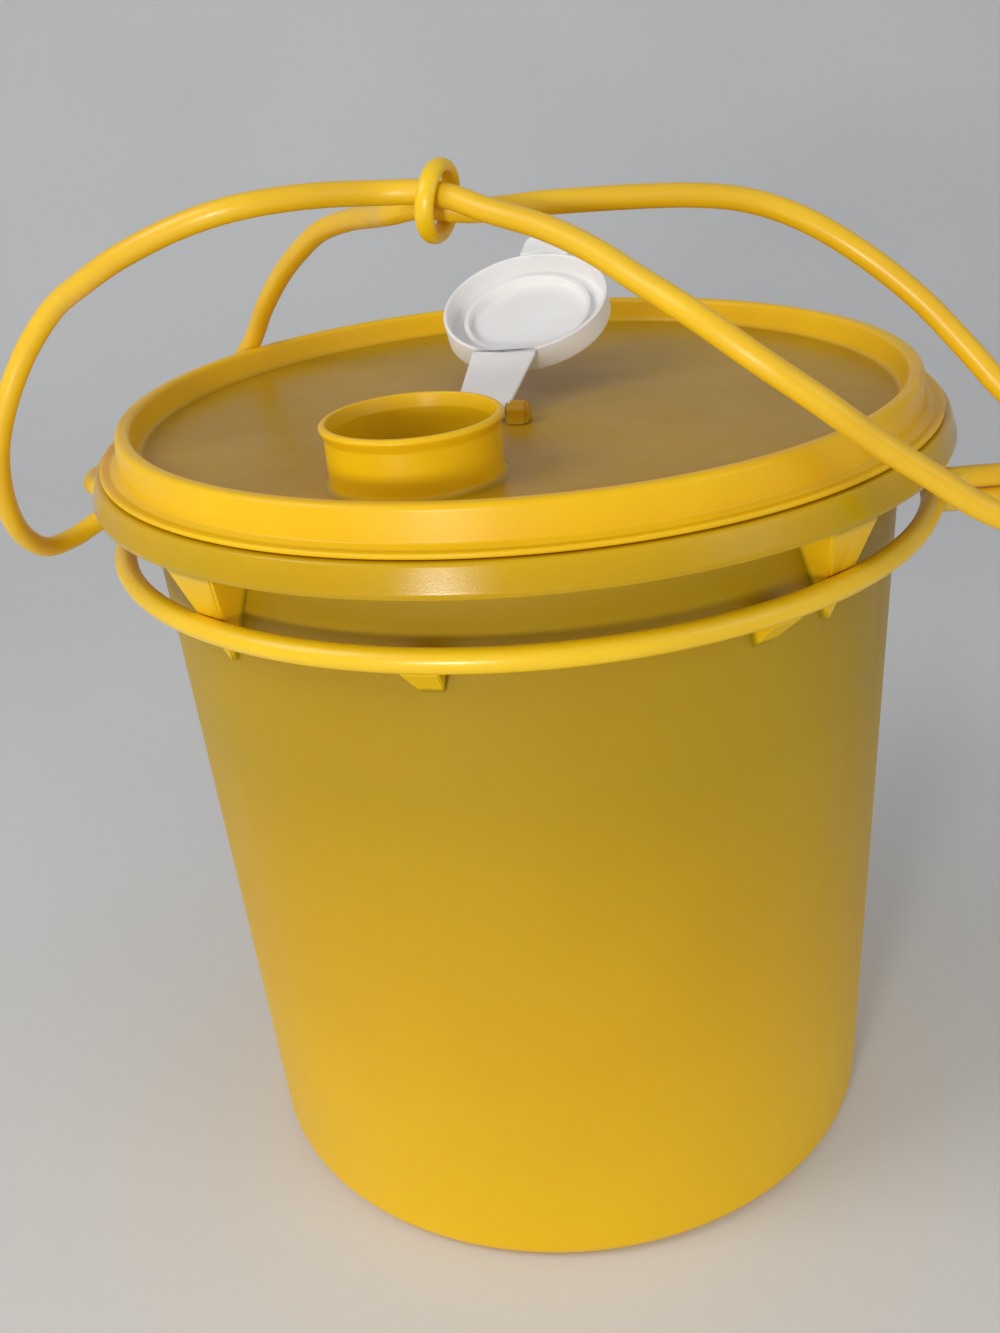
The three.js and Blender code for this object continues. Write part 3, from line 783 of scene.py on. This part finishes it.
def spout_profile():
    rim_low = spout_top - SPOUT_RIM_DEPTH
    foot = floor_under + OVERRUN
    return softened(
        [
            (SPOUT_BORE_RADIUS, floor_under, 0),
            (SPOUT_RADIUS + SPOUT_FILLET, foot, 0),
            (SPOUT_RADIUS + SPOUT_FILLET, lid_floor, 0),
            (SPOUT_RADIUS + SPOUT_FILLET / 4, lid_floor + SPOUT_FILLET / 4, SPOUT_FILLET),
            (SPOUT_RADIUS, lid_floor + SPOUT_FILLET, SPOUT_FILLET),
            (SPOUT_RADIUS, rim_low, SPOUT_FILLET),
            (SPOUT_RIM_RADIUS, spout_top - SPOUT_RIM_ROLL, SPOUT_RIM_ROLL),
            (SPOUT_RIM_RADIUS - SPOUT_RIM_ROLL, spout_top, SPOUT_RIM_ROLL),
            (SPOUT_MOUTH_RADIUS, spout_top, SPOUT_MOUTH_ROUNDING),
            (SPOUT_BORE_RADIUS, rim_low, SPOUT_FILLET),
        ],
        closed=True,
    )


def hinge_place():
    """The hinge's own frame: x along the pour line, y up, z along the pin."""
    along = around(180 - POUR_LINE_DEG, 1, 0)
    up = Vector((0, 0, 1))
    place = Matrix((along, up, along.cross(up))).transposed().to_4x4()
    place.translation = Vector((*SPOUT_PLACE, lid_floor + HINGE_HEIGHT)) + along * HINGE_REACH
    return place


def pin(radius, low, high, steps):
    """A round pin along z."""
    return prism(circle(0, 0, radius, steps), low, high, 0)


def ear(side):
    inner = STRAP_ROOT_WIDTH / 2 + EAR_GAP
    outline = [(-EAR_FOOT / 2, -HINGE_HEIGHT - OVERRUN), (EAR_FOOT / 2, -HINGE_HEIGHT - OVERRUN)]
    for step in range(EAR_STEPS + 1):
        angle = math.radians(EAR_START_DEG + EAR_SWEEP_DEG * step / EAR_STEPS)
        outline.append((EAR_RADIUS * math.cos(angle), EAR_RADIUS * math.sin(angle)))
    low, high = (inner, inner + EAR_WIDTH) if side > 0 else (-inner - EAR_WIDTH, -inner)
    block = prism(outline, low, high, EAR_ROUNDING)
    deep = STRAP_ROOT_WIDTH / 2 + STUB_LENGTH + STUB_GAP
    near = inner - OVERRUN
    low, high = (near, deep) if side > 0 else (-deep, -near)
    return cut(block, pin(STUB_RADIUS + STUB_GAP, low, high, STUB_STEPS))


def make_lid(material):
    shell, bore = bmesh.new(), bmesh.new()
    add_turned(shell, lid_profile(), ROUND_STEPS)
    bore_outline = [
        (0, floor_under - OVERRUN),
        (SPOUT_BORE_RADIUS + OVERRUN / 2, floor_under - OVERRUN),
        (SPOUT_BORE_RADIUS + OVERRUN / 2, lid_floor + OVERRUN),
        (0, lid_floor + OVERRUN),
    ]
    add_turned(bore, bore_outline, SMALL_STEPS, middle=SPOUT_PLACE)
    form = cut(shell, bore)
    add_turned(form, spout_profile(), SMALL_STEPS, middle=SPOUT_PLACE, closed=True)
    for side in (-1, 1):
        block = ear(side)
        moved(block, block.verts, hinge_place())
        add_form(form, block)
    made = piece("lid_moulding", form, material)
    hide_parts("lid")
    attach(made, "lid")


# Strap and cap: one white moulding that flexes across a thin line


def strap_form():
    """In the hinge's frame with x along the strap, up to the far side of the flexing line."""
    form = bmesh.new()
    runs = [0, strap_length / 3, 2 * strap_length / 3]
    runs += [strap_length + FLEX_HALF * share for share in FLEX_SHARES]
    rings = []
    for x in runs:
        share = min(x / strap_length, 1)
        half = (STRAP_ROOT_WIDTH + (STRAP_END_WIDTH - STRAP_ROOT_WIDTH) * share) / 2
        corners = [
            (-STRAP_THICKNESS / 2, -half, STRAP_ROUNDING),
            (STRAP_THICKNESS / 2, -half, STRAP_ROUNDING),
            (STRAP_THICKNESS / 2, half, STRAP_ROUNDING),
            (-STRAP_THICKNESS / 2, half, STRAP_ROUNDING),
        ]
        rings.append([form.verts.new((x, y, z)) for y, z in softened(corners, closed=True)])
    for low, high in zip(rings, rings[1:]):
        for i in range(len(low)):
            j = (i + 1) % len(low)
            form.faces.new([low[i], low[j], high[j], high[i]])
    form.faces.new(rings[0])
    form.faces.new(rings[-1])
    return form


def cap_profile():
    """(radius, height) with the open side up and the rim at zero."""
    inner = CAP_RADIUS - CAP_WALL
    plug_inner = CAP_PLUG_RADIUS - CAP_PLUG_WALL
    plug_top = CAP_PLUG_HEIGHT - CAP_DEPTH
    return softened([
        (0, -CAP_DEPTH - CAP_PANEL, 0),
        (CAP_RADIUS, -CAP_DEPTH - CAP_PANEL, CAP_ROLL),
        (CAP_RADIUS, 0, CAP_EDGE),
        (inner, 0, CAP_EDGE),
        (inner, -CAP_DEPTH, CAP_EDGE),
        (CAP_PLUG_RADIUS, -CAP_DEPTH, CAP_EDGE),
        (CAP_PLUG_RADIUS, plug_top, CAP_EDGE),
        (plug_inner, plug_top, CAP_EDGE),
        (plug_inner, -CAP_DEPTH, CAP_EDGE),
        (0, -CAP_DEPTH, 0),
    ])


def tab_outline():
    root = CAP_RADIUS - CAP_WALL / 2
    end = CAP_RADIUS + TAB_REACH
    half = TAB_WIDTH / 2
    return softened(
        [(root, -half, 0), (end, -half, TAB_CORNER), (end, half, TAB_CORNER), (root, half, 0)],
        closed=True,
    )


def land_outline():
    """The land carries the strap's end up to the cap's skirt."""
    near = -flex_reach + FLEX_HALF / 2
    half = STRAP_END_WIDTH / 2
    far = -math.sqrt(CAP_RADIUS ** 2 - half ** 2) + CAP_WALL / 2
    return [(near, -half), (far, -half), (-CAP_RADIUS + CAP_WALL / 2, 0), (far, half), (near, half)]


def cap_form():
    """In the cap's own frame: x over its middle to the tab, z up."""
    form = bmesh.new()
    add_turned(form, cap_profile(), SMALL_STEPS)
    add_form(form, prism(tab_outline(), -TAB_THICKNESS, 0, TAB_ROUNDING))
    add_form(form, prism(land_outline(), -STRAP_THICKNESS, 0, STRAP_ROUNDING))
    return form


def make_cap(material):
    form = strap_form()
    add_form(form, pin(BARREL_RADIUS, -STRAP_ROOT_WIDTH / 2, STRAP_ROOT_WIDTH / 2, BARREL_STEPS))
    stub_end = STRAP_ROOT_WIDTH / 2 + STUB_LENGTH
    add_form(form, pin(STUB_RADIUS, -stub_end, stub_end, STUB_STEPS))
    top = cap_form()
    lying = Matrix(((1, 0, 0, 0), (0, 0, 1, 0), (0, -1, 0, 0), (0, 0, 0, 1)))
    moved(top, top.verts, Matrix.Translation((strap_length + flex_reach, STRAP_THICKNESS / 2, 0)) @ lying)
    add_form(form, top)
    leaning = hinge_place() @ Matrix.Rotation(math.radians(STRAP_REST_DEG), 4, "Z")
    moved(form, form.verts, leaning)
    made = piece("strap_and_cap", form, material)
    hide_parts("cap_strap", "spout_cap")
    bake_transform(made)


# Materials


class Finish:
    """A material's node tree, in the object's own coordinates."""

    def __init__(self, name):
        self.material = bpy.data.materials.new(name)
        self.material.use_nodes = True
        self.nodes = self.material.node_tree.nodes
        self.links = self.material.node_tree.links
        self.shader = self.nodes["Principled BSDF"]
        self.place = self.nodes.new("ShaderNodeTexCoord").outputs["Object"]

    def noise(self, scale, detail, stretch=(1, 1, 1)):
        mapping = self.nodes.new("ShaderNodeMapping")
        mapping.inputs["Scale"].default_value = stretch
        texture = self.nodes.new("ShaderNodeTexNoise")
        texture.inputs["Scale"].default_value = scale
        texture.inputs["Detail"].default_value = detail
        self.links.new(self.place, mapping.inputs["Vector"])
        self.links.new(mapping.outputs["Vector"], texture.inputs["Vector"])
        return texture.outputs["Fac"]

    def ramp(self, factor, stops):
        node = self.nodes.new("ShaderNodeValToRGB")
        elements = node.color_ramp.elements
        while len(elements) < len(stops):
            elements.new(0.5)
        for element, (position, colour) in zip(elements, stops):
            element.position = position
            element.color = (*colour, 1)
        self.links.new(factor, node.inputs["Fac"])
        return node.outputs["Color"]

    def between(self, noise, low, high):
        """From the low colour to the high one over the middle of a noise's range."""
        return self.ramp(noise, [(0.3, low), (0.7, high)])

    def uneven(self, noise, low, high):
        """From the low grey to the high one over the middle of a noise's range."""
        return self.between(noise, grey(low), grey(high))

    def height(self, low, high):
        """0 at the lower height and 1 at the upper one."""
        parts = self.nodes.new("ShaderNodeSeparateXYZ")
        scaled = self.nodes.new("ShaderNodeMapRange")
        scaled.inputs["From Min"].default_value = low
        scaled.inputs["From Max"].default_value = high
        self.links.new(self.place, parts.inputs["Vector"])
        self.links.new(parts.outputs["Z"], scaled.inputs["Value"])
        return scaled.outputs["Result"]

    def radius(self, outer, inner):
        """0 at the outer radius from the upright axis and 1 at the inner one."""
        flat = self.nodes.new("ShaderNodeVectorMath")
        flat.operation = "MULTIPLY"
        flat.inputs[1].default_value = (1, 1, 0)
        length = self.nodes.new("ShaderNodeVectorMath")
        length.operation = "LENGTH"
        scaled = self.nodes.new("ShaderNodeMapRange")
        scaled.inputs["From Min"].default_value = outer
        scaled.inputs["From Max"].default_value = inner
        self.links.new(self.place, flat.inputs[0])
        self.links.new(flat.outputs["Vector"], length.inputs[0])
        self.links.new(length.outputs["Value"], scaled.inputs["Value"])
        return scaled.outputs["Result"]

    def nearness(self, place, outer, inner):
        """0 at the outer distance from a place and 1 at the inner one."""
        away = self.nodes.new("ShaderNodeVectorMath")
        away.operation = "DISTANCE"
        away.inputs[1].default_value = place
        scaled = self.nodes.new("ShaderNodeMapRange")
        scaled.inputs["From Min"].default_value = outer
        scaled.inputs["From Max"].default_value = inner
        self.links.new(self.place, away.inputs[0])
        self.links.new(away.outputs["Value"], scaled.inputs["Value"])
        return scaled.outputs["Result"]

    def product(self, a, b):
        node = self.nodes.new("ShaderNodeMath")
        node.operation = "MULTIPLY"
        self.links.new(a, node.inputs[0])
        self.links.new(b, node.inputs[1])
        return node.outputs["Value"]

    def mixed(self, a, b, factor, blend="MIX"):
        """b over a, by a share that is a number or a socket."""
        node = self.nodes.new("ShaderNodeMix")
        node.data_type = "RGBA"
        node.blend_type = blend
        if isinstance(factor, float):
            node.inputs["Factor"].default_value = factor
        else:
            self.links.new(factor, node.inputs["Factor"])
        self.links.new(a, node.inputs["A"])
        self.links.new(b, node.inputs["B"])
        return node.outputs["Result"]

    def bump(self, heights):
        """Bumps one over the other, from (height socket, distance in metres)."""
        normal = None
        for source, distance in heights:
            node = self.nodes.new("ShaderNodeBump")
            node.inputs["Distance"].default_value = distance
            self.links.new(source, node.inputs["Height"])
            if normal is not None:
                self.links.new(normal, node.inputs["Normal"])
            normal = node.outputs["Normal"]
        self.links.new(normal, self.shader.inputs["Normal"])

    def set(self, **values):
        for name, value in values.items():
            self.shader.inputs[name.replace("_", " ")].default_value = value

    def to(self, socket, name):
        self.links.new(socket, self.shader.inputs[name])


def grey(value):
    return (value, value, value)


def polyethylene(name, colours, rough):
    """Moulded soft plastic: cloudy colour, uneven gloss, a fine grain and faint ripples."""
    finish = Finish(name)
    finish.to(finish.between(finish.noise(*CLOUD), *colours), "Base Color")
    finish.to(finish.uneven(finish.noise(*GLOSS), *rough), "Roughness")
    finish.bump([(finish.noise(*RIPPLES), RIPPLE_DEPTH), (finish.noise(*GRAIN), GRAIN_DEPTH)])
    finish.set(
        Subsurface_Weight=0.2,
        Subsurface_Radius=(0.02, 0.009, 0.0015),
        Subsurface_Scale=0.35,
        IOR=1.5,
    )
    return finish.material


def lid_material():
    """The lid's thin floor and the hinge's small ears are painted deeper than the rim and the spout, as
    painted shade: the dark inside showing through the thin floor, and the strap's shadow on the ears.
    """
    finish = Finish("lid_polyethylene")
    cloud = finish.noise(*CLOUD)
    bright = finish.between(cloud, *LID_BRIGHT)
    # Painted shade on the lid's thin floor
    deep = finish.between(cloud, *LID_FLOOR_PAINTED_SHADE)
    inside = finish.radius(LID_FLOOR_RADIUS + LID_FLOOR_SHADE_OUTSIDE, LID_FLOOR_RADIUS - LID_FLOOR_SHADE_INSIDE)
    low = finish.height(lid_floor + LID_FLOOR_SHADE_TOP, lid_floor + LID_FLOOR_SHADE_LOW)
    thin = finish.product(inside, low)
    # Painted shade on the hinge's ears, for the strap's shadow
    ear_shade = finish.between(cloud, *EAR_PAINTED_SHADE)
    ears = finish.nearness(hinge_place().translation, *EAR_SHADE_REACH)
    finish.to(finish.mixed(finish.mixed(bright, ear_shade, ears), deep, thin), "Base Color")
    finish.to(finish.uneven(finish.noise(*GLOSS), *LID_ROUGH), "Roughness")
    finish.bump([(finish.noise(*RIPPLES), LID_RIPPLE_DEPTH), (finish.noise(*GRAIN), GRAIN_DEPTH)])
    finish.set(
        Subsurface_Weight=0.25,
        Subsurface_Radius=(0.02, 0.009, 0.0015),
        Subsurface_Scale=0.2,
        Specular_IOR_Level=0.3,
        IOR=1.5,
    )
    return finish.material


def tub_material():
    """The wall's colour holds painted shade and light by height: deeper and greener towards the top, in
    painted shade under the collar, and lighter at the foot, in painted light from the floor; the gussets
    and lugs are bright.
    """
    finish = Finish("tub_polyethylene")
    # Painted shade and light by height: dark under the collar, light at the foot
    height_shading = finish.ramp(finish.height(0.0, COLLAR_TOP), TUB_SHADED_COLOURS)
    cloud = finish.uneven(finish.noise(*TUB_CLOUD), *TUB_MOTTLE)
    wall = finish.mixed(height_shading, cloud, TUB_MOTTLE_SHARE, "MULTIPLY")
    solid = finish.between(finish.noise(*CLOUD), *TUB_BRIGHT)
    below = finish.height(collar_low, collar_low - GUSSET_TINT_DROP)
    outside = finish.product(finish.radius(*GUSSET_TINT_RADII), below)
    finish.to(finish.mixed(wall, solid, outside), "Base Color")
    streaks = finish.noise(*STREAKS, stretch=STREAK_STRETCH)
    satin = finish.uneven(streaks, *WALL_ROUGH)
    gloss = finish.uneven(streaks, *COLLAR_ROUGH)
    collar = finish.height(collar_low - COLLAR_GLOSS_DROP, collar_low)
    finish.to(finish.mixed(satin, gloss, collar), "Roughness")
    grain = finish.noise(*TUB_GRAIN)
    finish.bump([(finish.noise(*TUB_RIPPLES), TUB_RIPPLE_DEPTH), (grain, TUB_GRAIN_DEPTH)])
    finish.set(
        Subsurface_Weight=0.35,
        Subsurface_Radius=(0.02, 0.01, 0.002),
        Subsurface_Scale=0.4,
        Specular_IOR_Level=0.3,
        IOR=1.5,
    )
    return finish.material


def cap_material():
    finish = Finish("cap_polyethylene")
    finish.to(finish.between(finish.noise(*CAP_CLOUD), *CAP_WHITE), "Base Color")
    finish.to(finish.uneven(finish.noise(*CAP_GLOSS), *CAP_ROUGH), "Roughness")
    grain = finish.noise(*CAP_GRAIN)
    finish.bump([(finish.noise(*CAP_RIPPLES), CAP_RIPPLE_DEPTH), (grain, CAP_GRAIN_DEPTH)])
    finish.set(
        Subsurface_Weight=0.3,
        Subsurface_Radius=(0.006, 0.005, 0.004),
        Subsurface_Scale=0.4,
        IOR=1.5,
    )
    return finish.material


# Floor and light


def make_floor():
    finish = Finish("floor_paint")
    finish.to(finish.uneven(finish.noise(*FLOOR_CLOUD), *FLOOR_PALE), "Base Color")
    finish.bump([(finish.noise(*FLOOR_GRAIN), FLOOR_GRAIN_DEPTH)])
    finish.set(Roughness=0.7)
    form = bmesh.new()
    line = [Vector((FLOOR_FRONT, 0)), Vector((FLOOR_BACK - COVE_RADIUS, 0))]
    for step in range(COVE_STEPS + 1):
        turn = math.pi / 2 * step / COVE_STEPS
        line.append(Vector((
            FLOOR_BACK - COVE_RADIUS * (1 - math.sin(turn)), COVE_RADIUS * (1 - math.cos(turn))
        )))
    line.append(Vector((FLOOR_BACK, BACKDROP_TOP)))
    rows = [[form.verts.new((x, y, z)) for x in (-FLOOR_HALF, FLOOR_HALF)] for y, z in line]
    for low, high in zip(rows, rows[1:]):
        form.faces.new([low[0], low[1], high[1], high[0]]).smooth = True
    mesh = bpy.data.meshes.new("floor")
    form.to_mesh(mesh)
    form.free()
    mesh.materials.append(finish.material)
    floor = bpy.data.objects.new("floor", mesh)
    bpy.context.collection.objects.link(floor)


def make_light(name, place, target, size, power, colour):
    data = bpy.data.lights.new(name, "AREA")
    data.shape = "DISK"
    data.size = size
    data.energy = power
    data.color = colour
    light = bpy.data.objects.new(name, data)
    light.location = place
    light.rotation_euler = (Vector(target) - Vector(place)).to_track_quat("-Z", "Y").to_euler()
    bpy.context.collection.objects.link(light)


def make_world():
    world = bpy.data.worlds.new("studio")
    world.use_nodes = True
    sky = world.node_tree.nodes["Background"]
    sky.inputs["Color"].default_value = (*SKY_COLOUR, 1)
    sky.inputs["Strength"].default_value = SKY_STRENGTH
    bpy.context.scene.world = world
    bpy.context.scene.view_settings.view_transform = "Standard"


make_camera()
cord_plastic = polyethylene("cord_polyethylene", CORD_YELLOW, CORD_ROUGH)
ring_plastic = polyethylene("ring_polyethylene", RING_YELLOW, RING_ROUGH)
slider = make_slider(ring_plastic)
make_cord("cord_front", CORD_FRONT_ROUTE, cord_plastic)
make_cord("cord_back", CORD_BACK_ROUTE, cord_plastic)
make_ring(ring_plastic)
make_tub(tub_material())
make_lid(lid_material())
make_cap(cap_material())
make_floor()
make_world()
make_light(
    "key", place=(-0.42, -1.15, 0.34), target=(0, 0, 0.16), size=0.2, power=6, colour=(1, 0.98, 0.94)
)
make_light(
    "window", place=(-1.2, -0.5, 1.3), target=(0, 0, 0.15), size=0.9, power=8, colour=(1, 0.98, 0.95)
)
make_light(
    "fill", place=(1.2, -0.9, 0.8), target=(0, 0, 0.15), size=0.9, power=2.5, colour=(0.95, 0.98, 1)
)
